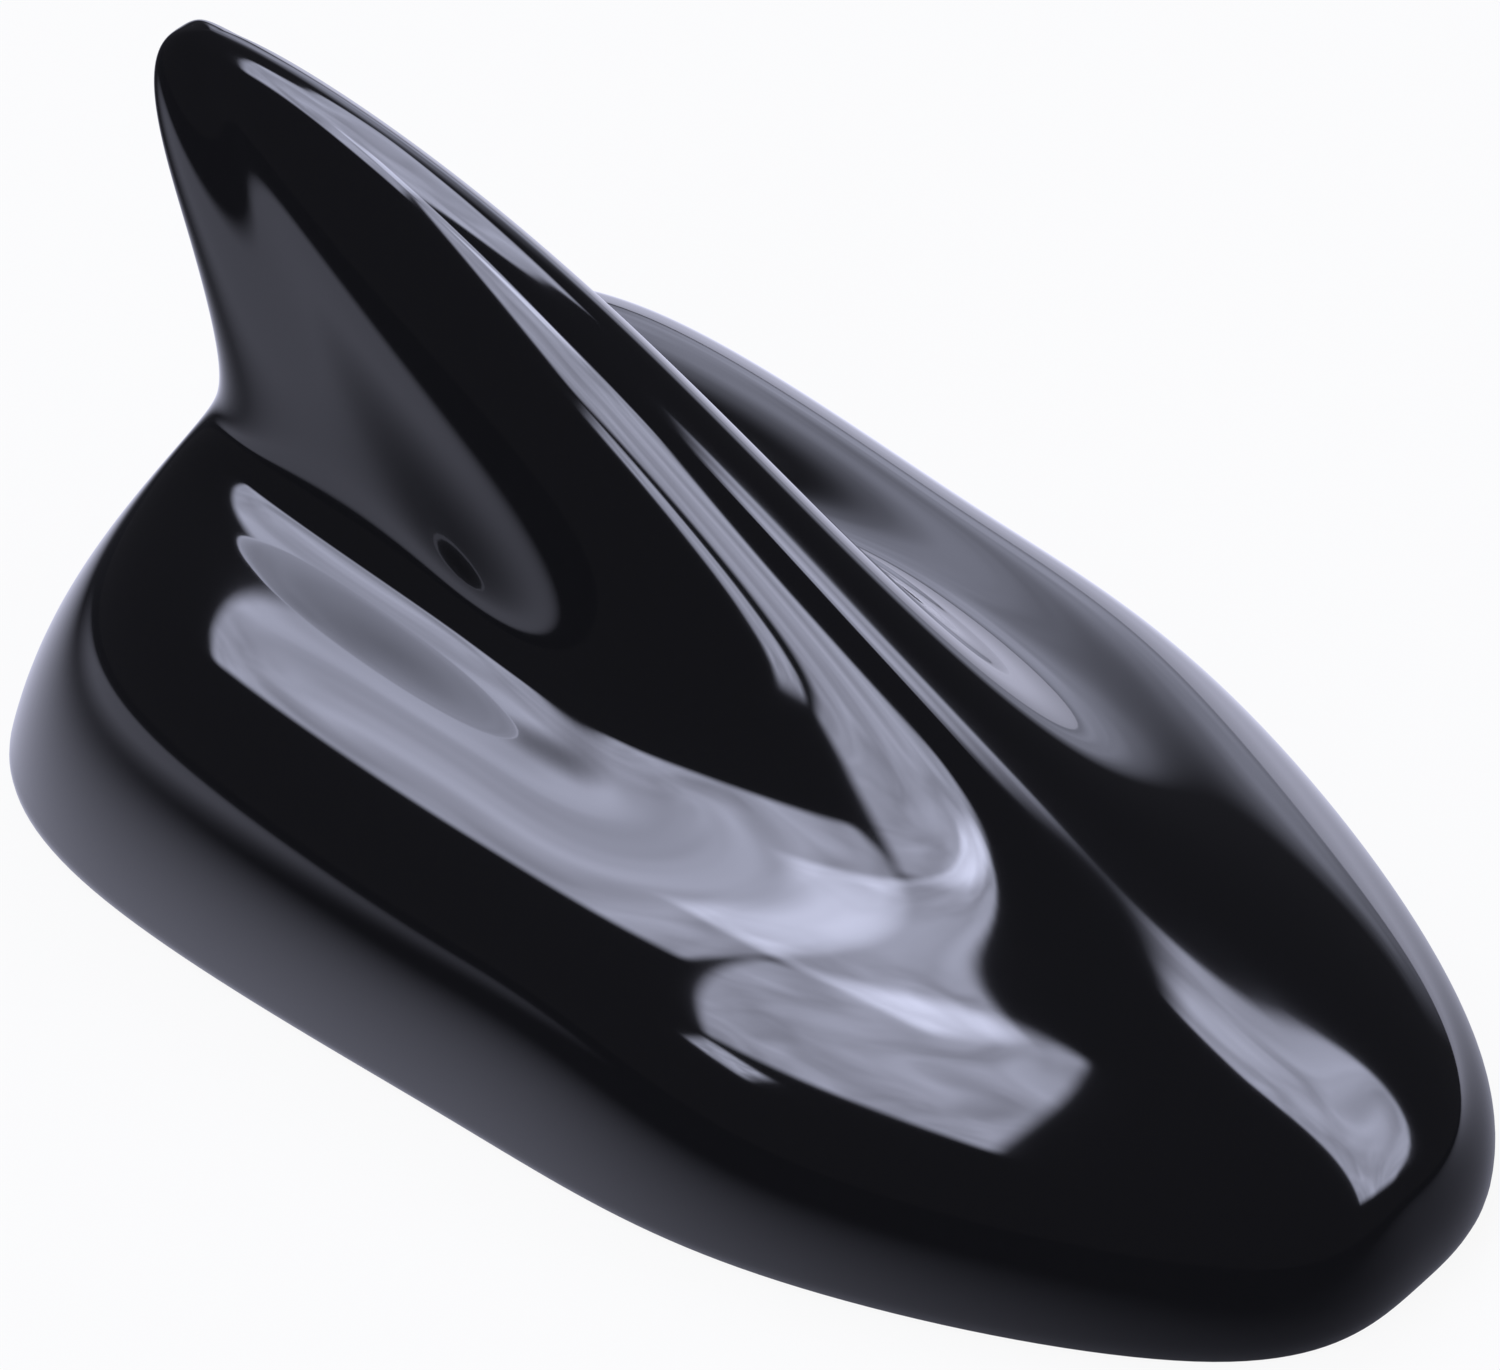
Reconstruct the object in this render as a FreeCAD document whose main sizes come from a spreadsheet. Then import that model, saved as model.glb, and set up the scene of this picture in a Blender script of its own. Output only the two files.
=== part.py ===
import FreeCAD
import Part
import Sketcher
import math
import os
import re
from FreeCAD import Vector

# Shark-fin roof antenna: a moulded cover on a screwed base plate, with the receiving parts inside.
# Frame: +X to the nose, +Y to the left, +Z up, origin on the roof under the middle of the base.

doc = FreeCAD.newDocument("RoofAntenna")
sheet = doc.addObject("Spreadsheet::Sheet", "Sizes")

# Base outline and the cage of the cover's skin. Each ring of the cage has a nose, a side and a tail point.
# _back is measured back from the rim's nose end and _in forward from its tail end.
# _drop is measured down from the fin's top.
cover_sizes = {
    "base_length": 160, "base_width": 87.6, "rim_gap": 0.4, "wall": 2.3, "fin_height": 70.4,
    "wall_nose_bulge": 2.5, "wall_nose_height": 14, "wall_tail_in": 2.5, "wall_tail_height": 11,
    "wall_side_in": 0.5, "wall_side_height": 6,
    "shoulder_nose_back": 18.5, "shoulder_nose_height": 25, "shoulder_tail_in": 11.5,
    "shoulder_tail_height": 28, "shoulder_side_in": 5.2, "shoulder_side_height": 29.3,
    "shoulder_rear_lift": 4,
    "deck_nose_back": 43, "deck_nose_height": 32.5, "deck_tail_in": 11.5, "deck_tail_height": 31.5,
    "deck_half_width": 18, "deck_side_height": 27.6, "deck_rear_lift": 3,
    "root_nose_back": 72.5, "root_nose_height": 45, "root_tail_in": 14, "root_tail_height": 38,
    "root_half_width": 14, "root_side_height": 31,
    "blade_nose_in": 48.5, "blade_nose_drop": 5.4, "blade_tail_in": 10, "blade_tail_drop": 20.4,
    "blade_half_width": 10.5, "blade_side_drop": 20.4,
    "tip_nose_in": 18, "tip_nose_rise": 0.6, "tip_overhang": 4.5, "tip_tail_drop": 1.4,
    "tip_half_width": 4, "tip_side_drop": 0.2, "cap_in": 6,
    "nose_bluntness": 0.45, "front_fullness": 1.01, "front_station": 0.32,
    "tail_bluntness": 0.77, "rear_fullness": 1.09, "rear_station": 0.14, "side_blend": 0.35,
}
base_sizes = {
    "pad_thickness": 1.2, "pad_margin": 1.5, "pad_width": 7,
    "plate_thickness": 3, "plate_clearance": 0.25, "rib_height": 3, "rib_thickness": 1.6,
    "rib_length": 70, "rib_spacing": 18,
    "groove_depth": 1.1, "groove_height": 1, "seal_clearance": 0.05,
    "front_screw_back": 32, "front_screw_out": 18, "rear_screw_in": 26, "rear_screw_out": 24,
    "cover_screw_diameter": 3, "cover_screw_length": 9, "cover_screw_head": 6, "cover_screw_head_height": 1.8,
    "screw_hole_clearance": 0.2, "thread_clearance": 0.05,
    "boss_diameter": 7.5, "pilot_spare": 1.5,
    "grommet_in": 30, "lead_bore_diameter": 5.2, "grommet_neck_diameter": 11, "grommet_clearance": 0.1,
    "grommet_flange_diameter": 15, "grommet_lower_flange": 0.9, "grommet_upper_flange": 1.6,
    "grommet_chamfer": 0.5,
}
board_sizes = {
    "post_height": 5, "post_diameter": 6,
    "board_rear_in": 50, "board_length": 86, "board_thickness": 1.6, "board_rear_width": 44,
    "board_front_width": 24, "board_screw_margin": 4,
    "board_screw_diameter": 2.2, "board_screw_length": 6, "board_screw_head": 4.4,
    "board_screw_head_height": 1.6,
    "radiator_thickness": 0.6, "radiator_clearance": 1.6, "sail_foot": 27, "sail_front_back": 70,
    "stem_start": 10, "stem_length": 26, "tab_length": 4, "tab_clearance": 0.1,
    "slot_count": 3, "slot_length": 26, "slot_height": 2, "slot_back": 86, "slot_rise": 5, "slot_step": 6.5,
    "can_start": 54, "can_length": 24, "can_width": 17, "can_height": 5, "can_sheet": 0.4, "can_corner": 1.2,
    "chip_length": 5, "chip_height": 0.9, "small_chip_length": 2, "small_chip_width": 1.25,
    "small_chip_height": 0.6, "small_chip_spacing": 5,
    "choke_start": 22, "choke_out": 11, "choke_diameter": 8, "choke_waist": 4.4, "choke_height": 6.5,
    "choke_cheek": 1.2, "winding_clearance": 0.1, "winding_depth": 1.4,
    "capacitor_count": 2, "capacitor_start": 16, "capacitor_spacing": 12, "capacitor_out": 12,
    "capacitor_diameter": 6.3, "capacitor_height": 7.5, "capacitor_foot": 0.8, "capacitor_edge": 0.6,
    "socket_width": 7, "socket_length": 8, "socket_height": 6.5, "socket_barrel_diameter": 5,
    "socket_barrel_length": 6, "socket_bore_diameter": 3.4, "socket_pin_diameter": 1,
}
sizes = {**cover_sizes, **base_sizes, **board_sizes}
for row, (alias, number) in enumerate(sizes.items(), start=1):
    sheet.set(f"A{row}", alias)
    sheet.set(f"B{row}", str(number))
    sheet.setAlias(f"B{row}", alias)
doc.recompute()


def size(alias):
    return float(sheet.get(alias))


def bound(text):
    return re.sub(r"[a-z_]+", lambda word: "Sizes." + word[0] if word[0] in sizes else word[0], text)


def bind(item, **texts):
    for name, text in texts.items():
        place = f".Placement.Base.{name}" if name in ("x", "y", "z") else name
        item.setExpression(place, bound(text))
    return item


def box(name, length, width, height, x, y, z):
    item = doc.addObject("Part::Box", name)
    return bind(item, Length=length, Width=width, Height=height, x=x, y=y, z=z)


def cylinder(name, diameter, height, x, y, z):
    item = doc.addObject("Part::Cylinder", name)
    return bind(item, Radius=f"({diameter}) / 2", Height=height, x=x, y=y, z=z)


def cut(name, base, tool):
    item = doc.addObject("Part::Cut", name)
    item.Base = base
    item.Tool = tool
    return item


def common(name, base, tool):
    item = doc.addObject("Part::Common", name)
    item.Base = base
    item.Tool = tool
    return item


def fuse(name, pieces):
    item = doc.addObject("Part::MultiFuse", name)
    item.Shapes = pieces
    return item


def group(name, pieces):
    item = doc.addObject("Part::Compound", name)
    item.Links = pieces
    return item


def outline(sketch, points):
    # Closed straight-sided outline whose corners are bound to the sheet.
    count = len(points)
    for i in range(count):
        start = Vector(math.cos(i * math.tau / count), math.sin(i * math.tau / count), 0)
        end = Vector(math.cos((i + 1) * math.tau / count), math.sin((i + 1) * math.tau / count), 0)
        sketch.addGeometry(Part.LineSegment(start, end), False)
    for i in range(count):
        sketch.addConstraint(Sketcher.Constraint("Coincident", i, 2, (i + 1) % count, 1))
    for i, corner in enumerate(points):
        for kind, axis, text in (("DistanceX", -2, corner[0]), ("DistanceY", -1, corner[1])):
            if text == "0":
                sketch.addConstraint(Sketcher.Constraint("PointOnObject", i, 1, axis))
            else:
                place = sketch.addConstraint(Sketcher.Constraint(kind, -1, 1, i, 1, 1.0))
                sketch.setExpression(f"Constraints[{place}]", bound(text))


def sketch_on(body, role, name):
    plane = next(item for item in body.Origin.OriginFeatures if item.Role == role)
    sketch = body.newObject("Sketcher::SketchObject", name)
    sketch.AttachmentSupport = [(plane, "")]
    sketch.MapMode = "FlatFace"
    return sketch


def turned(name, points, x, y, z):
    # Round piece: a half section of (radius, height) corners turned about its own upright axis.
    body = doc.addObject("PartDesign::Body", name)
    sketch = sketch_on(body, "XZ_Plane", name + "_section")
    outline(sketch, points)
    turn = body.newObject("PartDesign::Revolution", name + "_turn")
    turn.Profile = sketch
    turn.ReferenceAxis = (sketch, ["V_Axis"])
    turn.Angle = 360
    return bind(body, x=x, y=y, z=z)


# Levels and places that several pieces share
plate_top = "(pad_thickness + plate_thickness)"
groove_bottom = "(pad_thickness + (plate_thickness - groove_height) / 2)"
board_bottom = f"({plate_top} + post_height)"
board_top = f"({board_bottom} + board_thickness)"
nose_end = "(base_length / 2)"
board_rear = f"(board_rear_in - {nose_end})"
board_front = f"({board_rear} + board_length)"
front_screws_x = f"({nose_end} - front_screw_back)"
rear_screws_x = f"(rear_screw_in - {nose_end})"
cover_screw_places = [
    (front_screws_x, "front_screw_out"), (front_screws_x, "-front_screw_out"),
    (rear_screws_x, "rear_screw_out"), (rear_screws_x, "-rear_screw_out"),
]
board_screw_places = [
    (f"({board_rear} + board_screw_margin)", "(board_rear_width / 2 - board_screw_margin)"),
    (f"({board_rear} + board_screw_margin)", "(board_screw_margin - board_rear_width / 2)"),
    (f"({board_front} - board_screw_margin)", "(board_front_width / 2 - board_screw_margin)"),
    (f"({board_front} - board_screw_margin)", "(board_screw_margin - board_front_width / 2)"),
]


cubic = 3  # degree of every curve in the skin


def clamped_counts(poles):
    # Times that each knot counts, so that the curve starts and ends on its first and last pole.
    inner = len(poles) - cubic - 1
    return [cubic + 1] + [1] * inner + [cubic + 1]


def inset_guide(points, inset):
    # Moves a guide line inwards by the inset, and runs it out past the rim by as much.
    # The material lies on the left of its direction of travel.
    headings = [(b - a).normalize() for a, b in zip(points, points[1:])]
    normals = [Vector(-heading.y, heading.x, 0) for heading in headings]
    first = points[0] + normals[0] * inset
    first = first - headings[0] * ((first.y - points[0].y + inset) / headings[0].y)
    moved = [first]
    for point, before, after in zip(points[1:-1], normals, normals[1:]):
        moved.append(point + (before + after) * (inset / (1 + before.dot(after))))
    moved.append(points[-1] - Vector(0, inset, 0))
    return moved


def skin_guides(inset):
    half = size("base_length") / 2
    top = size("fin_height")
    rim = size("rim_gap")
    half_width = size("base_width") / 2
    cap = half - size("cap_in")
    nose = [
        Vector(half, rim, 0),
        Vector(half + size("wall_nose_bulge"), size("wall_nose_height"), 0),
        Vector(half - size("shoulder_nose_back"), size("shoulder_nose_height"), 0),
        Vector(half - size("deck_nose_back"), size("deck_nose_height"), 0),
        Vector(half - size("root_nose_back"), size("root_nose_height"), 0),
        Vector(size("blade_nose_in") - half, top - size("blade_nose_drop"), 0),
        Vector(size("tip_nose_in") - half, top + size("tip_nose_rise"), 0),
        Vector(-cap, top, 0),
    ]
    side = [
        Vector(half_width, rim, 0),
        Vector(half_width - size("wall_side_in"), size("wall_side_height"), 0),
        Vector(half_width - size("shoulder_side_in"), size("shoulder_side_height"), 0),
        Vector(size("deck_half_width"), size("deck_side_height"), 0),
        Vector(size("root_half_width"), size("root_side_height"), 0),
        Vector(size("blade_half_width"), top - size("blade_side_drop"), 0),
        Vector(size("tip_half_width"), top - size("tip_side_drop"), 0),
        Vector(0, top, 0),
    ]
    # The tail guide is written as distance behind the middle, so that it travels like the nose guide.
    tail = [
        Vector(half, rim, 0),
        Vector(half - size("wall_tail_in"), size("wall_tail_height"), 0),
        Vector(half - size("shoulder_tail_in"), size("shoulder_tail_height"), 0),
        Vector(half - size("deck_tail_in"), size("deck_tail_height"), 0),
        Vector(half - size("root_tail_in"), size("root_tail_height"), 0),
        Vector(half - size("blade_tail_in"), top - size("blade_tail_drop"), 0),
        Vector(half + size("tip_overhang"), top - size("tip_tail_drop"), 0),
        Vector(cap, top, 0),
    ]
    return [inset_guide(guide, inset) for guide in (nose, side, tail)]


def ring_poles(nose, side, tail, rear_lift=0):
    # Twelve poles round one ring, from the nose along the left side to the tail and back.
    nose_x, nose_z = nose.x, nose.y
    width, side_z = side.x, side.y
    tail_x, tail_z = -tail.x, tail.y
    length = nose_x - tail_x
    blend = size("side_blend")
    left = [
        Vector(nose_x, size("nose_bluntness") * width, nose_z),
        Vector(nose_x - size("front_station") * length, size("front_fullness") * width,
               side_z + (nose_z - side_z) * blend),
        Vector(nose_x - length / 2, width, side_z),
        Vector(tail_x + size("rear_station") * length, size("rear_fullness") * width,
               side_z + (tail_z - side_z) * blend + rear_lift),
        Vector(tail_x, size("tail_bluntness") * width, tail_z),
    ]
    right = [Vector(pole.x, -pole.y, pole.z) for pole in reversed(left)]
    return [Vector(nose_x, 0, nose_z)] + left + [Vector(tail_x, 0, tail_z)] + right


def skin_solid(inset):
    # One smooth skin over the rings, closed to a point at the fin's cap and by a flat face at the rim.
    rear_lifts = [0, 0, size("shoulder_rear_lift"), size("deck_rear_lift"), 0, 0, 0, 0]
    rings = [ring_poles(*points) for points in zip(*skin_guides(inset), rear_lifts)]
    around = len(rings[0])
    cap_height = rings[-1][0].z
    cap_x = (rings[-1][0].x + rings[-1][around // 2].x) / 2
    rings[-1] = [Vector(cap_x, 0, cap_height)] * around
    up_counts = clamped_counts(rings)
    round_counts = [1] * (around + 1)
    skin = Part.BSplineSurface()
    skin.buildFromPolesMultsKnots(
        rings, up_counts, round_counts, list(range(len(up_counts))), list(range(len(round_counts))),
        False, True, cubic, cubic)
    face = skin.toShape()
    rim = min((edge for edge in face.Edges if not edge.Degenerated), key=lambda edge: edge.BoundBox.ZMax)
    shell = Part.makeShell([face, Part.Face(Part.Wire(rim))])
    shell.sewShape()
    return Part.makeSolid(shell)


def skin(name, inset):
    item = doc.addObject("Part::Feature", name)
    item.Shape = skin_solid(inset)
    return item


def plan_slab(name, inset, bottom, height):
    # Upright slab with the rim's own outline, drawn in by the inset.
    end = Vector(size("base_length") / 2 - inset, bottom, 0)
    side = Vector(size("base_width") / 2 - inset, bottom, 0)
    curve = Part.BSplineCurve()
    curve.buildFromPoles(ring_poles(end, side, end), True, cubic)
    item = doc.addObject("Part::Feature", name)
    item.Shape = Part.Face(Part.Wire(curve.toShape())).extrude(Vector(0, 0, height))
    return item


def upright_sheet(name, inset, thickness):
    # Sheet standing on the centre plane, bounded by the nose and tail guides drawn in by the inset.
    nose, side, tail = skin_guides(inset)
    front = [Vector(point.x, thickness / 2, point.y) for point in nose]
    back = [Vector(-point.x, thickness / 2, point.y) for point in tail]
    edges = [Part.LineSegment(back[0], front[0]).toShape()]
    for poles in (front, back):
        counts = clamped_counts(poles)
        curve = Part.BSplineCurve()
        curve.buildFromPolesMultsKnots(poles, counts, list(range(len(counts))), False, cubic)
        edges.append(curve.toShape())
    face = Part.Face(Part.Wire(Part.sortEdges(edges)[0]))
    item = doc.addObject("Part::Feature", name)
    item.Shape = face.extrude(Vector(0, -thickness, 0))
    return item


def layer(name, base, bottom, height):
    # The slice of a skin between two levels.
    slab = box(name + "_slab", "2 * base_length", "2 * base_width", height,
               "-base_length", "-base_width", bottom)
    return common(name, base, slab)


# Cover: the outer skin less the inner one, with four screw bosses that run up into the wall
outer_skin = skin("outer_skin", 0)
inner_skin = skin("inner_skin", size("wall"))
boss_limit = skin("boss_limit", size("wall") / 2)
boss_columns = []
pilots = []
for i, (x, y) in enumerate(cover_screw_places):
    boss_columns.append(cylinder(f"boss_column_{i}", "boss_diameter", "fin_height", x, y, plate_top))
    pilots.append(cylinder(f"pilot_{i}", "cover_screw_diameter + 2 * thread_clearance",
                           "cover_screw_length + pilot_spare - plate_thickness + cover_screw_head_height",
                           x, y, plate_top))
cover_shell = cut("cover_shell", outer_skin, inner_skin)
bosses = common("bosses", fuse("boss_columns", boss_columns), boss_limit)
fin_cover = cut("fin_cover", fuse("cover_body", [cover_shell, bosses]), fuse("pilots", pilots))

# Base plate: three layers, the middle one drawn in for the seal, with posts, ribs and holes
plate_skin = skin("plate_skin", size("wall") + size("plate_clearance"))
groove_skin = skin("groove_skin", size("wall") + size("plate_clearance") + size("groove_depth"))
flange_height = "(plate_thickness - groove_height) / 2"
plate_lower = layer("plate_lower", plate_skin, "pad_thickness", flange_height)
plate_middle = layer("plate_middle", groove_skin, groove_bottom, "groove_height")
plate_upper = layer("plate_upper", plate_skin, f"{groove_bottom} + groove_height", flange_height)
raised = []
holes = []
for i, (x, y) in enumerate(board_screw_places):
    raised.append(cylinder(f"post_{i}", "post_diameter", "post_height + groove_height", x, y,
                           f"{plate_top} - groove_height"))
    holes.append(cylinder(f"post_hole_{i}", "board_screw_diameter + 2 * thread_clearance",
                          "post_height + groove_height", x, y, f"{plate_top} - groove_height"))
for i, side in enumerate(("-1", "1")):
    raised.append(box(f"rib_{i}", "rib_length", "rib_thickness", "rib_height + groove_height",
                      f"{board_rear} + board_length / 2 - rib_length / 2",
                      f"{side} * rib_spacing / 2 - rib_thickness / 2", f"{plate_top} - groove_height"))
for i, (x, y) in enumerate(cover_screw_places):
    holes.append(cylinder(f"screw_hole_{i}", "cover_screw_diameter + 2 * screw_hole_clearance",
                          "plate_thickness", x, y, "pad_thickness"))
    holes.append(cylinder(f"head_recess_{i}", "cover_screw_head + 2 * screw_hole_clearance",
                          "cover_screw_head_height", x, y, "pad_thickness"))
grommet_x = f"(grommet_in - {nose_end})"
holes.append(cylinder("grommet_hole", "grommet_neck_diameter + 2 * grommet_clearance", "plate_thickness",
                      grommet_x, "0", "pad_thickness"))
plate_solid = fuse("plate_solid", [plate_lower, plate_middle, plate_upper] + raised)
base_plate = cut("base_plate", plate_solid, fuse("plate_holes", holes))

# Seal in the plate's edge groove, and the foam pad that sticks the plate to the roof
seal_skin = skin("seal_skin", size("wall") + size("seal_clearance"))
seal_layer = layer("seal_layer", seal_skin, groove_bottom, "groove_height")
cover_seal = cut("cover_seal", seal_layer, groove_skin)
pad_inset = size("wall") + size("pad_margin")
pad_outer = plan_slab("pad_outer", pad_inset, 0, size("pad_thickness"))
pad_inner = plan_slab("pad_inner", pad_inset + size("pad_width"), 0, size("pad_thickness"))
roof_pad = cut("roof_pad", pad_outer, pad_inner)

# Grommet where the lead comes in, gripping the plate between two flanges
neck_top = "(grommet_lower_flange + plate_thickness)"
grommet_top = f"({neck_top} + grommet_upper_flange)"
cable_grommet = turned("cable_grommet", [
    ("lead_bore_diameter / 2", "0"),
    ("grommet_flange_diameter / 2", "0"),
    ("grommet_flange_diameter / 2", "grommet_lower_flange"),
    ("grommet_neck_diameter / 2", "grommet_lower_flange"),
    ("grommet_neck_diameter / 2", neck_top),
    ("grommet_flange_diameter / 2", neck_top),
    ("grommet_flange_diameter / 2", f"{grommet_top} - grommet_chamfer"),
    ("grommet_flange_diameter / 2 - grommet_chamfer", grommet_top),
    ("lead_bore_diameter / 2", grommet_top),
], grommet_x, "0", "pad_thickness - grommet_lower_flange")

# Circuit board: tapered to the nose, on the plate's posts, with slots for the radiator's tabs
board_body = doc.addObject("PartDesign::Body", "board_body")
board_outline = sketch_on(board_body, "XY_Plane", "board_outline")
outline(board_outline, [
    ("0", "-board_rear_width / 2"),
    ("board_length", "-board_front_width / 2"),
    ("board_length", "board_front_width / 2"),
    ("0", "board_rear_width / 2"),
])
board_pad = board_body.newObject("PartDesign::Pad", "board_pad")
board_pad.Profile = board_outline
bind(board_pad, Length="board_thickness")
bind(board_body, x=board_rear, y="0", z=board_bottom)
board_holes = []
for i, (x, y) in enumerate(board_screw_places):
    board_holes.append(cylinder(f"board_hole_{i}", "board_screw_diameter + 2 * screw_hole_clearance",
                                "board_thickness", x, y, board_bottom))
stem_x = f"({board_rear} + stem_start)"
tab_places = [stem_x, f"({stem_x} + stem_length - tab_length)"]
for i, x in enumerate(tab_places):
    board_holes.append(box(f"tab_slot_{i}", "tab_length + 2 * tab_clearance",
                           "radiator_thickness + 2 * tab_clearance", "board_thickness",
                           f"{x} - tab_clearance", "-radiator_thickness / 2 - tab_clearance", board_bottom))
circuit_board = cut("circuit_board", board_body, fuse("board_openings", board_holes))

# Radiator: a stamped sheet sail that fills the fin, on a stem with two tabs through the board
sail_inset = size("wall") + size("radiator_clearance")
sail_section = upright_sheet("sail_section", sail_inset, size("radiator_thickness"))
sail_slab = box("sail_slab", f"2 * {nose_end} - sail_front_back + tip_overhang", "radiator_thickness",
                "fin_height - sail_foot",
                f"-{nose_end} - tip_overhang", "-radiator_thickness / 2", "sail_foot")
stem = box("stem", "stem_length", "radiator_thickness", f"sail_foot + slot_height - {board_top}", stem_x,
           "-radiator_thickness / 2", board_top)
tabs = [box(f"tab_{i}", "tab_length", "radiator_thickness", "board_thickness + can_sheet", x,
            "-radiator_thickness / 2", board_bottom) for i, x in enumerate(tab_places)]
sail = fuse("sail", [common("sail_sheet", sail_slab, sail_section), stem] + tabs)
slots = []
for i in range(int(size("slot_count"))):
    slots.append(box(f"slot_{i}", "slot_length", "2 * radiator_thickness", "slot_height",
                     f"{nose_end} - slot_back - slot_length - {i} * slot_step / 2", "-radiator_thickness",
                     f"sail_foot + slot_rise + {i} * slot_step"))
radiator_plate = cut("radiator_plate", sail, fuse("slots", slots))

# Shield can over the amplifier, with the chips under it
can_x = f"({board_rear} + can_start)"
can_block = box("can_block", "can_length", "can_width", "can_height", can_x, "-can_width / 2", board_top)
doc.recompute()
can_round = doc.addObject("Part::Fillet", "can_round")
can_round.Base = can_block
corner = size("can_corner")
can_round.Edges = [(i + 1, corner, corner) for i, edge in enumerate(can_block.Shape.Edges)
                   if edge.BoundBox.ZMax > can_block.Shape.BoundBox.ZMin + corner]
can_hollow = box("can_hollow", "can_length - 2 * can_sheet", "can_width - 2 * can_sheet",
                 "can_height - can_sheet", f"{can_x} + can_sheet", "can_sheet - can_width / 2", board_top)
shield_can = cut("shield_can", can_round, can_hollow)
chip_x = f"({can_x} + can_length / 2)"
amplifier_chip = box("amplifier_chip", "chip_length", "chip_length", "chip_height",
                     f"{chip_x} - chip_length / 2", "-chip_length / 2", board_top)
small_chips = []
for row in ("-1", "0", "1"):
    for side in ("-1", "1"):
        small_chips.append(box(f"small_chip_{len(small_chips)}", "small_chip_length", "small_chip_width",
                               "small_chip_height",
                               f"{chip_x} + {row} * small_chip_spacing - small_chip_length / 2",
                               f"{side} * small_chip_spacing - small_chip_width / 2", board_top))
chip_resistors = group("chip_resistors", small_chips)

# Choke: a drum core with its winding
choke_place = (f"{board_rear} + choke_start", "choke_out", board_top)
choke_core = turned("choke_core", [
    ("0", "0"),
    ("choke_diameter / 2", "0"),
    ("choke_diameter / 2", "choke_cheek"),
    ("choke_waist / 2", "choke_cheek"),
    ("choke_waist / 2", "choke_height - choke_cheek"),
    ("choke_diameter / 2", "choke_height - choke_cheek"),
    ("choke_diameter / 2", "choke_height"),
    ("0", "choke_height"),
], *choke_place)
choke_winding = turned("choke_winding", [
    ("choke_waist / 2 + winding_clearance", "choke_cheek + winding_clearance"),
    ("choke_waist / 2 + winding_depth", "choke_cheek + winding_clearance"),
    ("choke_waist / 2 + winding_depth", "choke_height - choke_cheek - winding_clearance"),
    ("choke_waist / 2 + winding_clearance", "choke_height - choke_cheek - winding_clearance"),
], *choke_place)

# Two can capacitors on square feet
capacitor_list = []
for i in range(int(size("capacitor_count"))):
    x = f"({board_rear} + capacitor_start + {i} * capacitor_spacing)"
    foot = box(f"capacitor_foot_{i}", "capacitor_diameter", "capacitor_diameter", "capacitor_foot",
               f"{x} - capacitor_diameter / 2", "-capacitor_out - capacitor_diameter / 2", board_top)
    can = turned(f"capacitor_can_{i}", [
        ("0", "0"),
        ("capacitor_diameter / 2", "0"),
        ("capacitor_diameter / 2", "capacitor_height - capacitor_edge"),
        ("capacitor_diameter / 2 - capacitor_edge", "capacitor_height"),
        ("0", "capacitor_height"),
    ], x, "-capacitor_out", f"{board_top} + capacitor_foot / 2")
    capacitor_list.append(fuse(f"capacitor_{i}", [foot, can]))
capacitors = group("capacitors", capacitor_list)

# Socket on the board's rear edge for the lead's end
socket_axis = f"({board_top} + socket_height / 2)"
socket_block = box("socket_block", "socket_length", "socket_width", "socket_height", board_rear,
                   "-socket_width / 2", board_top)
barrel = cylinder("barrel", "socket_barrel_diameter", "socket_barrel_length + socket_length / 2",
                  f"{board_rear} + socket_length / 2", "0", socket_axis)
socket_bore = cylinder("socket_bore", "socket_bore_diameter", "socket_barrel_length + socket_length / 2",
                       f"{board_rear} + socket_length / 2", "0", socket_axis)
socket_pin = cylinder("socket_pin", "socket_pin_diameter", "socket_barrel_length / 2 + socket_length / 2",
                      f"{board_rear} + socket_length / 2", "0", socket_axis)
for item in (barrel, socket_bore, socket_pin):
    item.Placement.Rotation = FreeCAD.Rotation(Vector(0, 1, 0), -90)
socket_tube = cut("socket_tube", fuse("socket_outside", [socket_block, barrel]), socket_bore)
lead_socket = fuse("lead_socket", [socket_tube, socket_pin])

# Screws: pan heads with plain shanks
cover_screw_list = []
for i, (x, y) in enumerate(cover_screw_places):
    head = cylinder(f"cover_head_{i}", "cover_screw_head", "cover_screw_head_height", x, y, "pad_thickness")
    shank = cylinder(f"cover_shank_{i}", "cover_screw_diameter",
                     "cover_screw_length + cover_screw_head_height", x, y, "pad_thickness")
    cover_screw_list.append(fuse(f"cover_screw_{i}", [head, shank]))
cover_screws = group("cover_screws", cover_screw_list)
board_screw_list = []
for i, (x, y) in enumerate(board_screw_places):
    head = cylinder(f"board_head_{i}", "board_screw_head", "board_screw_head_height", x, y, board_top)
    shank = cylinder(f"board_shank_{i}", "board_screw_diameter",
                     "board_screw_length + board_screw_head_height",
                     x, y, f"{board_top} - board_screw_length")
    board_screw_list.append(fuse(f"board_screw_{i}", [head, shank]))
board_screws = group("board_screws", board_screw_list)

sub_parts = [
    fin_cover, base_plate, cover_seal, roof_pad, cable_grommet, circuit_board, radiator_plate, shield_can,
    amplifier_chip, chip_resistors, choke_core, choke_winding, capacitors, lead_socket,
    cover_screws, board_screws,
]
doc.recompute()
for item in doc.Objects:
    if "Invalid" in item.State or "Error" in item.State:
        raise RuntimeError(f"{item.Label} did not rebuild: {item.State}")
for item in sub_parts:
    if item.Shape.isNull() or not item.Shape.isValid():
        raise RuntimeError(f"{item.Label} has no sound shape")
os.makedirs("parts", exist_ok=True)
for item in sub_parts:
    item.Shape.exportStep(f"parts/{item.Label}.step")
    print(item.Label, len(item.Shape.Solids), "solids", round(item.Shape.Volume, 1), "mm3")
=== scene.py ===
import bpy
import math
import numpy as np
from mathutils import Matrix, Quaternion, Vector


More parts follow.
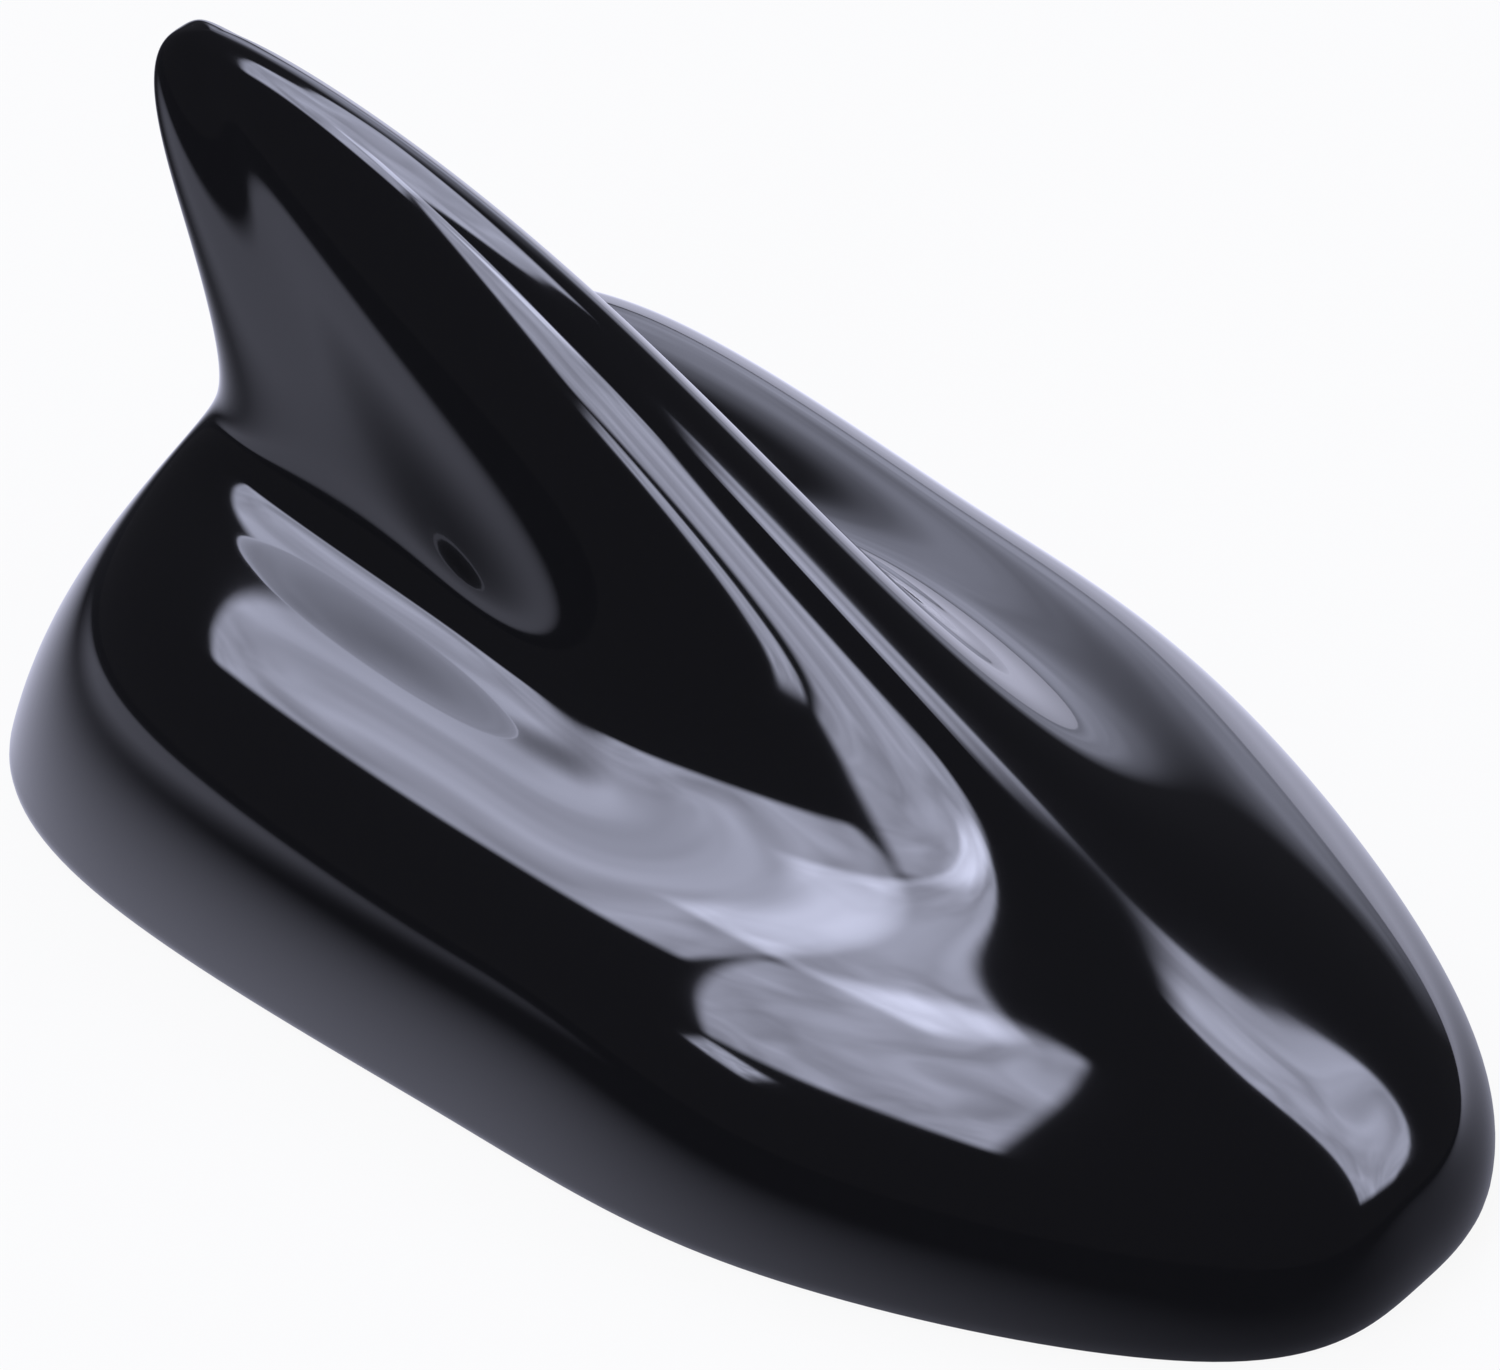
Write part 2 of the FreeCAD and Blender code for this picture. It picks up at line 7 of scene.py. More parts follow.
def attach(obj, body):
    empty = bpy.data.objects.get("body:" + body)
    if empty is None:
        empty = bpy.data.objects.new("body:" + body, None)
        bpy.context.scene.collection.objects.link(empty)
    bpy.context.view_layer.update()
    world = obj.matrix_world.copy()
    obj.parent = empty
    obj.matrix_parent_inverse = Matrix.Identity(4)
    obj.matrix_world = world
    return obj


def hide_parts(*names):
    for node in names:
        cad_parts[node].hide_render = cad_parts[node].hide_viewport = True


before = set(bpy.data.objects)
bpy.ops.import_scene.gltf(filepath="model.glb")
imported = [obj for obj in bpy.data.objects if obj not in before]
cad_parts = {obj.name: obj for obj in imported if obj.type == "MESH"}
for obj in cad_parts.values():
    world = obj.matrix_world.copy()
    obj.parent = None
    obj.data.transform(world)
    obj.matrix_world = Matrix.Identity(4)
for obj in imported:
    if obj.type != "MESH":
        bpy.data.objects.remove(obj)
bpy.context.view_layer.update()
mm = 0.001
print("frame loaded:", len(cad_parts), "nodes")


def hexLinear(code):
    parts = [int(code[i:i + 2], 16) / 255 for i in (1, 3, 5)]
    linear = [p / 12.92 if p <= 0.04045 else ((p + 0.055) / 1.055) ** 2.4 for p in parts]
    return (*linear, 1.0)


def perMm(size):
    return 1000.0 / size  # pattern repeats per metre for a real size in millimetres


def perWave(size):
    return perMm(size) * math.pi / 10  # a wave texture's own repeat is a tenth of pi


def fromAngles(azimuth, elevation):
    a, e = math.radians(azimuth), math.radians(elevation)
    return Vector((math.sin(a) * math.cos(e), -math.cos(a) * math.cos(e), math.sin(e)))


def addNode(tree, kind, settings, links=None):
    node = tree.nodes.new(kind)
    for name, value in settings.items():
        if isinstance(name, int) or name in node.inputs:
            node.inputs[name].default_value = value
        else:
            setattr(node, name, value)
    for name, source in (links or {}).items():
        tree.links.new(source, node.inputs[name])
    return node


def startMaterial(name, settings):
    material = bpy.data.materials.new(name)
    material.use_nodes = True
    tree = material.node_tree
    tree.nodes.clear()
    shader = addNode(tree, "ShaderNodeBsdfPrincipled", settings)
    addNode(tree, "ShaderNodeOutputMaterial", {}, {"Surface": shader.outputs["BSDF"]})
    place = addNode(tree, "ShaderNodeTexCoord", {}).outputs["Object"]
    return material, tree, shader, place


def setMaterial(obj, material):
    obj.data.materials.clear()
    obj.data.materials.append(material)


# Piano-black lacquered ABS: sprayed and buffed, so it mirrors lamps sharply with the faintest orange peel
def lacqueredAbs():
    material, tree, shader, place = startMaterial("lacqueredAbs", {
        "Base Color": hexLinear("#0b0b0c"), "Roughness": 0.06, "IOR": 1.6,
        "Coat Weight": 1.0, "Coat Roughness": 0.015, "Coat IOR": 1.7})
    peel = addNode(tree, "ShaderNodeTexNoise", {"Scale": perMm(3.0), "Detail": 1.0}, {"Vector": place})
    bump = addNode(tree, "ShaderNodeBump", {"Strength": 0.02, "Distance": 0.02 * mm},
                   {"Height": peel.outputs["Fac"]})
    tree.links.new(bump.outputs["Normal"], shader.inputs["Coat Normal"])
    haze = addNode(tree, "ShaderNodeTexNoise", {"Scale": perMm(9.0), "Detail": 3.0}, {"Vector": place})
    rough = addNode(tree, "ShaderNodeMapRange", {"To Min": 0.04, "To Max": 0.09},
                    {"Value": haze.outputs["Fac"]})
    tree.links.new(rough.outputs["Result"], shader.inputs["Roughness"])
    return material


# A grain drives the colour from dark to pale, the roughness and the relief: sizes and depth in millimetres
grainSet = {
    "detail": 3.0, "fineShare": 0.6, "darkAt": 0.3, "paleAt": 0.7, "relief": 0.6, "evenStretch": (1, 1, 1),
}


def addGrain(tree, shader, place, s):
    g = grainSet
    lie = addNode(tree, "ShaderNodeMapping", {"Scale": s.get("stretch", g["evenStretch"])}, {"Vector": place})
    grain = addNode(tree, "ShaderNodeTexNoise", {
        "Scale": perMm(s["size"]), "Detail": g["detail"], "Roughness": g["fineShare"]},
        {"Vector": lie.outputs["Vector"]})
    tone = addNode(tree, "ShaderNodeValToRGB", {}, {"Fac": grain.outputs["Fac"]})
    stops = ((g["darkAt"], s["dark"]), (g["paleAt"], s["pale"]))
    for stop, (at, code) in zip(tone.color_ramp.elements, stops):
        stop.position = at
        stop.color = hexLinear(code)
    rough = addNode(tree, "ShaderNodeMapRange", {"To Min": s["smooth"], "To Max": s["rough"]},
                    {"Value": grain.outputs["Fac"]})
    bump = addNode(tree, "ShaderNodeBump", {"Strength": g["relief"], "Distance": s["depth"] * mm},
                   {"Height": grain.outputs["Fac"]})
    tree.links.new(tone.outputs["Color"], shader.inputs["Base Color"])
    tree.links.new(rough.outputs["Result"], shader.inputs["Roughness"])
    tree.links.new(bump.outputs["Normal"], shader.inputs["Normal"])
    return bump


# Moulded ABS from a spark-eroded tool: a satin grain, drawn coarse to show, that greys in grazing light
def satinAbs():
    material, tree, shader, place = startMaterial("satinAbs", {"IOR": 1.53})
    addGrain(tree, shader, place, {"size": 0.7, "dark": "#141416", "pale": "#1d1e20",
                                   "smooth": 0.38, "rough": 0.55, "depth": 0.03})
    return material


# Moulded silicone: soft, smooth and a little waxy
def siliconeRubber():
    material, tree, shader, place = startMaterial("siliconeRubber", {"IOR": 1.41, "Sheen Weight": 0.15})
    addGrain(tree, shader, place, {"size": 4.0, "dark": "#3a3c40", "pale": "#474a4e",
                                   "smooth": 0.45, "rough": 0.6, "depth": 0.02})
    return material


# Die-cut closed-cell foam: dull, with round pores all over
def cellFoam():
    material, tree, shader, place = startMaterial("cellFoam", {"IOR": 1.45, "Sheen Weight": 0.25})
    grain = addGrain(tree, shader, place, {"size": 2.5, "dark": "#1b1b1d", "pale": "#2a2a2d",
                                           "smooth": 0.85, "rough": 0.98, "depth": 0.05})
    cells = addNode(tree, "ShaderNodeTexVoronoi", {"Scale": perMm(0.9)}, {"Vector": place})
    pores = addNode(tree, "ShaderNodeBump", {"Strength": 0.8, "Distance": 0.25 * mm},
                    {"Height": cells.outputs["Distance"], "Normal": grain.outputs["Normal"]})
    tree.links.new(pores.outputs["Normal"], shader.inputs["Normal"])
    return material


# Moulded EPDM rubber: matt, with a faint grey bloom
def mouldedRubber():
    material, tree, shader, place = startMaterial("mouldedRubber", {"IOR": 1.5, "Sheen Weight": 0.2})
    addGrain(tree, shader, place, {"size": 1.5, "dark": "#18181a", "pale": "#26272a",
                                   "smooth": 0.55, "rough": 0.75, "depth": 0.03})
    return material


# Glass-epoxy laminate under green solder mask: the cloth's weave, drawn coarse, shows faintly through it
def maskedLaminate():
    material, tree, shader, place = startMaterial("maskedLaminate", {
        "IOR": 1.55, "Coat Weight": 0.6, "Coat Roughness": 0.12})
    grain = addGrain(tree, shader, place, {"size": 3.0, "dark": "#0d3b22", "pale": "#14522f",
                                           "smooth": 0.28, "rough": 0.4, "depth": 0.01})
    weave = addNode(tree, "ShaderNodeTexWave", {"Scale": perWave(1.0), "bands_direction": "DIAGONAL",
                                                "Distortion": 0.4}, {"Vector": place})
    cloth = addNode(tree, "ShaderNodeBump", {"Strength": 0.3, "Distance": 0.02 * mm},
                    {"Height": weave.outputs["Fac"], "Normal": grain.outputs["Normal"]})
    tree.links.new(cloth.outputs["Normal"], shader.inputs["Normal"])
    return material


# Rolled brass sheet: rolling lines along its length, drawn coarse to show, and a warm tarnish
def rolledBrass():
    material, tree, shader, place = startMaterial("rolledBrass", {"Metallic": 1.0})
    addGrain(tree, shader, place, {"size": 0.8, "stretch": (0.06, 1, 1), "dark": "#b08d47", "pale": "#d3b26a",
                                   "smooth": 0.22, "rough": 0.4, "depth": 0.008})
    return material


# Drawn and tinned steel: bright grey with soft cloudy patches of tin
def tinnedSteel():
    material, tree, shader, place = startMaterial("tinnedSteel", {"Metallic": 1.0})
    addGrain(tree, shader, place, {"size": 3.0, "dark": "#b3b5b8", "pale": "#d6d8da",
                                   "smooth": 0.25, "rough": 0.42, "depth": 0.01})
    return material


# Transfer-moulded epoxy: matt charcoal with a sandy face, its grit drawn coarse to show
def mouldedEpoxy():
    material, tree, shader, place = startMaterial("mouldedEpoxy", {"IOR": 1.55})
    addGrain(tree, shader, place, {"size": 0.3, "dark": "#1a1a1b", "pale": "#28282a",
                                   "smooth": 0.55, "rough": 0.7, "depth": 0.02})
    return material


# Fired alumina with a printed film: chalky pale body, slightly mottled
def firedCeramic():
    material, tree, shader, place = startMaterial("firedCeramic", {"IOR": 1.7})
    addGrain(tree, shader, place, {"size": 0.6, "dark": "#8d8b88", "pale": "#d8d5cf",
                                   "smooth": 0.4, "rough": 0.6, "depth": 0.01})
    return material


# Pressed and sintered ferrite: dull brown-black with a powdery grain, drawn coarse to show
def sinteredFerrite():
    material, tree, shader, place = startMaterial("sinteredFerrite", {"IOR": 2.0})
    addGrain(tree, shader, place, {"size": 0.5, "dark": "#241f1d", "pale": "#3a3431",
                                   "smooth": 0.6, "rough": 0.8, "depth": 0.03})
    return material


# Enamelled copper wire: close turns under a thin amber varnish
def enamelledCopper():
    material, tree, shader, place = startMaterial("enamelledCopper", {
        "Metallic": 1.0, "Coat Weight": 0.7, "Coat Roughness": 0.1, "Coat Tint": hexLinear("#e0a860")})
    grain = addGrain(tree, shader, place, {"size": 1.2, "dark": "#8a3f17", "pale": "#bb6a30",
                                           "smooth": 0.22, "rough": 0.35, "depth": 0.005})
    turns = addNode(tree, "ShaderNodeTexWave", {"Scale": perWave(0.4), "bands_direction": "Z"},
                    {"Vector": place})
    ridges = addNode(tree, "ShaderNodeBump", {"Strength": 1.0, "Distance": 0.1 * mm},
                     {"Height": turns.outputs["Fac"], "Normal": grain.outputs["Normal"]})
    tree.links.new(ridges.outputs["Normal"], shader.inputs["Normal"])
    return material


# Drawn aluminium can: pale, with upright draw lines, drawn coarse to show
def drawnAluminium():
    material, tree, shader, place = startMaterial("drawnAluminium", {"Metallic": 1.0})
    addGrain(tree, shader, place, {"size": 0.6, "stretch": (1, 1, 0.08), "dark": "#c3c6c9", "pale": "#dee0e2",
                                   "smooth": 0.2, "rough": 0.36, "depth": 0.006})
    return material


# Turned and gold-flashed brass: bright yellow with tool rings, drawn coarse to show
def flashedBrass():
    material, tree, shader, place = startMaterial("flashedBrass", {"Metallic": 1.0})
    addGrain(tree, shader, place, {"size": 0.5, "stretch": (0.2, 1, 1), "dark": "#c49a4c", "pale": "#e3c27a",
                                   "smooth": 0.15, "rough": 0.3, "depth": 0.005})
    return material


# Zinc-plated steel: blue-grey, slightly cloudy from the passivation
def zincSteel():
    material, tree, shader, place = startMaterial("zincSteel", {"Metallic": 1.0})
    addGrain(tree, shader, place, {"size": 1.0, "dark": "#a3a9b2", "pale": "#ccd1d8",
                                   "smooth": 0.25, "rough": 0.42, "depth": 0.008})
    return material


# Which finish each solid of the frame keeps
finishSet = {
    "base_plate": satinAbs, "cover_seal": siliconeRubber, "roof_pad": cellFoam,
    "cable_grommet": mouldedRubber, "circuit_board": maskedLaminate, "radiator_plate": rolledBrass,
    "shield_can": tinnedSteel,
    "amplifier_chip": mouldedEpoxy, "chip_resistors": firedCeramic, "choke_core": sinteredFerrite,
    "choke_winding": enamelledCopper, "capacitors": drawnAluminium, "lead_socket": flashedBrass,
    "board_screws": zincSteel,
}
finishes = {make: make() for make in dict.fromkeys(finishSet.values())}
for node, make in finishSet.items():
    setMaterial(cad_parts[node], finishes[make])
print("finishes set:", len(finishes), "on", len(finishSet), "nodes")


# Cover cage in millimetres: nose x and height, tail x and height, half width and its height for each ring
coverSet = {
    "rings": [
        (80.0, 0.4, -80.0, 0.4, 43.8, 0.4),
        (82.5, 14.0, -77.5, 11.0, 43.3, 6.0),
        (61.5, 25.0, -68.5, 28.0, 38.6, 29.3),
        (37.0, 32.5, -68.5, 31.5, 18.0, 27.6),
        (7.5, 45.0, -66.0, 38.0, 14.0, 31.0),
        (-31.5, 65.0, -70.0, 50.0, 10.5, 50.0),
        (-62.0, 71.0, -84.5, 69.0, 4.0, 70.2),
        (-74.0, 70.4, -74.0, 70.4, 0.0, 70.4),
    ],
    "rearLift": [0, 0, 4.0, 3.0, 0, 0, 0, 0],
    "noseBlunt": 0.45, "frontFull": 1.01, "frontPlace": 0.32,
    "tailBlunt": 0.77, "rearFull": 1.09, "rearPlace": 0.14, "sideBlend": 0.35,
    "wall": 2.3, "rimEase": 0.25, "rimShare": 0.25, "around": 240, "outerRows": 200, "innerRows": 60,
}


def insetGuide(points, inset):
    points = np.array(points)
    heading = np.diff(points, axis=0)
    heading /= np.linalg.norm(heading, axis=1)[:, None]
    normal = np.stack([-heading[:, 1], heading[:, 0]], axis=1)
    moved = points.copy()
    share = 1 + (normal[:-1] * normal[1:]).sum(axis=1)
    moved[1:-1] += (normal[:-1] + normal[1:]) * (inset / share)[:, None]
    first = points[0] + normal[0] * inset
    moved[0] = first - heading[0] * ((first[1] - points[0, 1]) / heading[0, 1])  # stays in the rim's plane
    moved[-1] -= (0, inset)
    return moved


def ringPoles(inset):
    s = coverSet
    rings = np.array(s["rings"])
    nose = insetGuide(rings[:, 0:2], inset)
    tail = insetGuide(rings[:, 2:4] * (-1, 1), inset) * (-1, 1)
    side = insetGuide(rings[:, 4:6], inset)
    net = []
    for (noseX, noseZ), (tailX, tailZ), (width, sideZ), lift in zip(nose, tail, side, s["rearLift"]):
        length = noseX - tailX
        left = [
            (noseX, s["noseBlunt"] * width, noseZ),
            (noseX - s["frontPlace"] * length, s["frontFull"] * width,
             sideZ + (noseZ - sideZ) * s["sideBlend"]),
            (noseX - length / 2, width, sideZ),
            (tailX + s["rearPlace"] * length, s["rearFull"] * width,
             sideZ + (tailZ - sideZ) * s["sideBlend"] + lift),
            (tailX, s["tailBlunt"] * width, tailZ),
        ]
        right = [(x, -y, z) for x, y, z in reversed(left)]
        net.append([(noseX, 0, noseZ)] + left + [(tailX, 0, tailZ)] + right)
    return np.array(net)


def clampedBasis(count, steps):
    knots = np.concatenate([[0] * 3, np.linspace(0, 1, count - 2), [1] * 3])
    t = np.minimum(np.linspace(0, 1, steps), 1 - 1e-12)[:, None]
    basis = ((knots[:-1] <= t) & (t < knots[1:])).astype(float)
    for degree in (1, 2, 3):
        rise = knots[degree:-1] - knots[:-degree - 1]
        fall = knots[degree + 1:] - knots[1:-degree]
        up = (t - knots[:-degree - 1]) / np.where(rise > 0, rise, 1) * (rise > 0)
        down = (knots[degree + 1:] - t) / np.where(fall > 0, fall, 1) * (fall > 0)
        basis = up * basis[:, :-1] + down * basis[:, 1:]
    return basis


def roundBasis(count, steps):
    t = np.arange(steps) * count / steps
    basis = np.zeros((steps, count))
    f = t % 1
    weights = [(1 - f) ** 3, 3 * f ** 3 - 6 * f ** 2 + 4, -3 * f ** 3 + 3 * f ** 2 + 3 * f + 1, f ** 3]
    for k, weight in enumerate(weights):
        basis[np.arange(steps), (t.astype(int) - 1 + k) % count] += weight / 6
    return basis


def skinPoints(inset, rows):
    net = ringPoles(inset)
    net[-1, :, 0] = net[-1, :, 0].mean()
    net[-1, :, 1] = 0
    across = roundBasis(net.shape[1], coverSet["around"])
    return np.einsum("ui,ijk,vj->uvk", clampedBasis(net.shape[0], rows + 1), net, across)


def skinFaces(rows, around, start, flip):
    faces = []
    for u in range(rows - 1):
        for v in range(around):
            w = (v + 1) % around
            a, b = start + u * around, start + (u + 1) * around
            faces.append((a + v, a + w, b + w, b + v))
    top = start + rows * around
    last = start + (rows - 1) * around
    faces += [(last + v, last + (v + 1) % around, top) for v in range(around)]
    return [face[::-1] for face in faces] if flip else faces


# A closed form turned about an upright axis: (radius, height) rows from one end's middle to the other's
def turnedForm(place, rows, firstMiddle, lastMiddle, around):
    angle = np.arange(around) * 2 * math.pi / around
    points = [(*place, firstMiddle)]
    for radius, height in rows:
        ring = np.stack([place[0] + radius * np.cos(angle), place[1] + radius * np.sin(angle),
                         np.broadcast_to(height, around)], axis=1)
        points += [tuple(p) for p in ring]
    points.append((*place, lastMiddle))
    faces = [(0, 1 + (v + 1) % around, 1 + v) for v in range(around)]
    faces += skinFaces(len(rows), around, 1, False)
    return points, faces


def joinForm(points, faces, form):
    start = len(points)
    points += form[0]
    faces += [tuple(start + k for k in face) for face in form[1]]


sharpAngle = 40  # degrees: what folds more than this keeps a crisp edge


def addPiece(name, points, faces, material, node):
    mesh = bpy.data.meshes.new(name)
    mesh.from_pydata([tuple(c * mm for c in p) for p in points], [], faces)
    mesh.shade_smooth()
    mesh.set_sharp_from_angle(angle=math.radians(sharpAngle))
    mesh.validate()
    piece = bpy.data.objects.new(name, mesh)
    bpy.context.scene.collection.objects.link(piece)
    setMaterial(piece, material)
    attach(piece, "root")
    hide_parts(node)
    return piece


# Screws from below: places on the plate, head with a six-lobe recess, and a coarse thread for plastic
screwSet = {
    "places": [(48, 18), (48, -18), (-54, 24), (-54, -24)], "face": 1.2, "around": 48,
    "headRadius": 3.0, "headHigh": 1.8, "headEase": 0.3, "lobes": 6, "lobeRadius": 1.5, "lobeWave": 0.14,
    "lobeDepth": 1.0, "lobeTaper": 0.9, "lobeEase": 0.1, "shankRadius": 1.5, "shankLong": 9.0,
    "threadDeep": 0.3, "threadPitch": 1.1, "threadRows": 72,
    "bossRadius": 3.75, "bossFoot": 4.2, "pilotRadius": 1.55, "pilotEnd": 13.5,
}


def bossForm(place, wallPoints):
    s = screwSet
    angle = np.arange(s["around"]) * 2 * math.pi / s["around"]
    rim = np.array(place) + s["bossRadius"] * np.stack([np.cos(angle), np.sin(angle)], axis=1)
    gap = ((wallPoints[None, :, :2] - np.vstack([rim, [place]])[:, None]) ** 2).sum(axis=2)
    top = wallPoints[gap.argmin(axis=1), 2]  # runs up into the middle of the wall
    rows = [(s["pilotRadius"], s["pilotEnd"]), (s["pilotRadius"], s["bossFoot"]),
            (s["bossRadius"], s["bossFoot"]), (s["bossRadius"], top[:-1])]
    return turnedForm(place, rows, s["pilotEnd"], top[-1], s["around"])


def screwForm(place):
    s = screwSet
    angle = np.arange(s["around"]) * 2 * math.pi / s["around"]
    lobe = s["lobeRadius"] * (1 + s["lobeWave"] * np.cos(s["lobes"] * angle)) / (1 + s["lobeWave"])
    neck = s["face"] + s["headHigh"]
    rows = [(lobe * s["lobeTaper"], s["face"] + s["lobeDepth"]),
            (lobe, s["face"] + s["lobeEase"]), (lobe + s["lobeEase"], s["face"]),
            (s["headRadius"] - s["headEase"], s["face"]), (s["headRadius"], s["face"] + s["headEase"]),
            (s["headRadius"], neck), (s["shankRadius"], neck)]
    for k in range(1, s["threadRows"] + 1):
        rise = s["shankLong"] * k / s["threadRows"]
        turn = (rise / s["threadPitch"] - angle / (2 * math.pi)) % 1
        rows.append((s["shankRadius"] - s["threadDeep"] * np.abs(2 * turn - 1), neck + rise))
    return turnedForm(place, rows, s["face"] + s["lobeDepth"], neck + s["shankLong"], s["around"])


def makeScrews():
    points, faces = [], []
    for place in screwSet["places"]:
        joinForm(points, faces, screwForm(place))
    return addPiece("coverScrews", points, faces, finishes[zincSteel], "cover_screws")


def makeCover():
    s = coverSet
    around = s["around"]
    outer = skinPoints(0, s["outerRows"])
    ease = skinPoints(s["rimEase"], s["outerRows"])
    outer[0, :, :2] = ease[0, :, :2]
    outer[1] = outer[1] * (1 - s["rimShare"]) + ease[1] * s["rimShare"]
    inner = skinPoints(s["wall"], s["innerRows"])
    points = [p for skin in (outer, inner) for p in (*skin[:-1].reshape(-1, 3), skin[-1, 0])]
    innerStart = s["outerRows"] * around + 1
    faces = skinFaces(s["outerRows"], around, 0, False)
    faces += skinFaces(s["innerRows"], around, innerStart, True)
    for v in range(around):
        w = (v + 1) % around
        faces.append((v, innerStart + v, innerStart + w, w))
    middle = skinPoints(s["wall"] / 2, s["innerRows"]).reshape(-1, 3)
    for place in screwSet["places"]:
        joinForm(points, faces, bossForm(place, middle))
    return addPiece("coverSkin", points, faces, lacqueredAbs(), "fin_cover")


cover = makeCover()
print("cover made:", len(cover.data.polygons), "faces")
screws = makeScrews()
print("screws made:", len(screws.data.polygons), "faces")


# Soft boxes: angles in degrees, sides in metres, and the share of each side over which its edge fades
lightSet = {
    "rearBox": {"azimuth": -116, "elevation": 67, "roll": 15, "wide": 1.25, "high": 0.42,
                "radiance": 3.0, "edge": 0.08},
    "leftBox": {"azimuth": 4, "elevation": 57, "roll": 4, "wide": 0.42, "high": 0.82,
                "radiance": 3.0, "edge": 0.08},
    "topBox": {"azimuth": -45, "elevation": 79, "roll": 10, "wide": 0.5, "high": 0.16,
               "radiance": 3.0, "edge": 0.15},
    "lowBox": {"azimuth": -4, "elevation": 27, "roll": -20, "wide": 0.15, "high": 0.12,
               "radiance": 3.0, "edge": 0.25},
    "rightBox": {"azimuth": 130, "elevation": 40, "roll": -28, "wide": 0.23, "high": 1.0,
                 "radiance": 3.0, "edge": 0.08},
    "backBox": {"azimuth": 214, "elevation": 20, "roll": 0, "wide": 0.7, "high": 0.75,
                "radiance": 1.0, "edge": 0.45},
    "farBox": {"azimuth": 196, "elevation": 5, "roll": 0, "wide": 1.2, "high": 0.42,
               "radiance": 0.75, "edge": 0.45},
}
# Their cloth: soft folds that dim and brighten the light a little
clothSet = {"folds": 3.5, "detail": 2.0, "distortion": 0.6, "from": 0.3, "to": 0.7, "dim": 0.7, "bright": 1.3}
boxDistance = 0.9
boxTint = "#e0e4ff"


def addSoftBox(name, s):
    lamp = bpy.data.lights.new(name, "AREA")
    lamp.shape = "RECTANGLE"
    lamp.size = s["wide"]
    lamp.size_y = s["high"]
    lamp.energy = s["radiance"] * math.pi * s["wide"] * s["high"]
    lamp.color = hexLinear(boxTint)[:3]
    lamp.use_nodes = True
    tree = lamp.node_tree
    cloth = addNode(tree, "ShaderNodeNewGeometry", {})
    c = clothSet
    folds = addNode(tree, "ShaderNodeTexNoise", {
        "Scale": c["folds"], "Detail": c["detail"], "Distortion": c["distortion"]},
        {"Vector": cloth.outputs["Parametric"]})
    level = addNode(tree, "ShaderNodeMapRange", {
        "From Min": c["from"], "From Max": c["to"], "To Min": c["dim"], "To Max": c["bright"]},
        {"Value": folds.outputs["Fac"]}).outputs["Result"]
    sides = addNode(tree, "ShaderNodeSeparateXYZ", {}, {"Vector": cloth.outputs["Parametric"]})
    for side in ("X", "Y"):
        inward = addNode(tree, "ShaderNodeMath", {"operation": "PINGPONG", 1: 0.5},  # in from both edges
                         {0: sides.outputs[side]})
        fade = addNode(tree, "ShaderNodeMapRange", {
            "interpolation_type": "SMOOTHSTEP", "From Max": s["edge"]}, {"Value": inward.outputs[0]})
        level = addNode(tree, "ShaderNodeMath", {"operation": "MULTIPLY"},
                        {0: level, 1: fade.outputs["Result"]}).outputs[0]
    tree.links.new(level, tree.nodes["Emission"].inputs["Strength"])
    holder = bpy.data.objects.new(name, lamp)
    toward = fromAngles(s["azimuth"], s["elevation"])
    holder.location = toward * boxDistance
    turn = Quaternion((0, 0, 1), math.radians(s["roll"]))
    holder.rotation_euler = (toward.to_track_quat("Z", "Y") @ turn).to_euler()
    holder.visible_camera = False
    bpy.context.scene.collection.objects.link(holder)


# Paper sweep: white to the eye, with the object's shadow. In gloss it is dark but for three painted pools of
# light, a glow that shows in the cover as painted reflections.
floorSet = {
    "size": 6.0, "drop": 0.0002, "paper": "#f5f4f1", "white": "#ffffff", "cameraShare": 0.92,
    # the last two are the tint and the dim base level of the painted glow seen in gloss
    "paintedGlowTint": "#e4e6ff", "paintedGlowBase": 0.04,
}
# Each painted pool of light fades out between near and far, counted in reaches from its centre
paintedLightPools = {
    "rim": {"centre": (-0.042, 0, 0), "reach": (0.062, 0.05, 1), "near": 0.7, "far": 2.15, "level": 0.66},
    "left": {"centre": (-0.2, -0.18, 0), "reach": (0.1, 0.1, 1), "near": 0.6, "far": 1.6, "level": 0.42},
    "back": {"centre": (-0.04, 0.5, 0), "reach": (0.3, 0.45, 1), "near": 0.8, "far": 1.25, "level": 1.0},
}


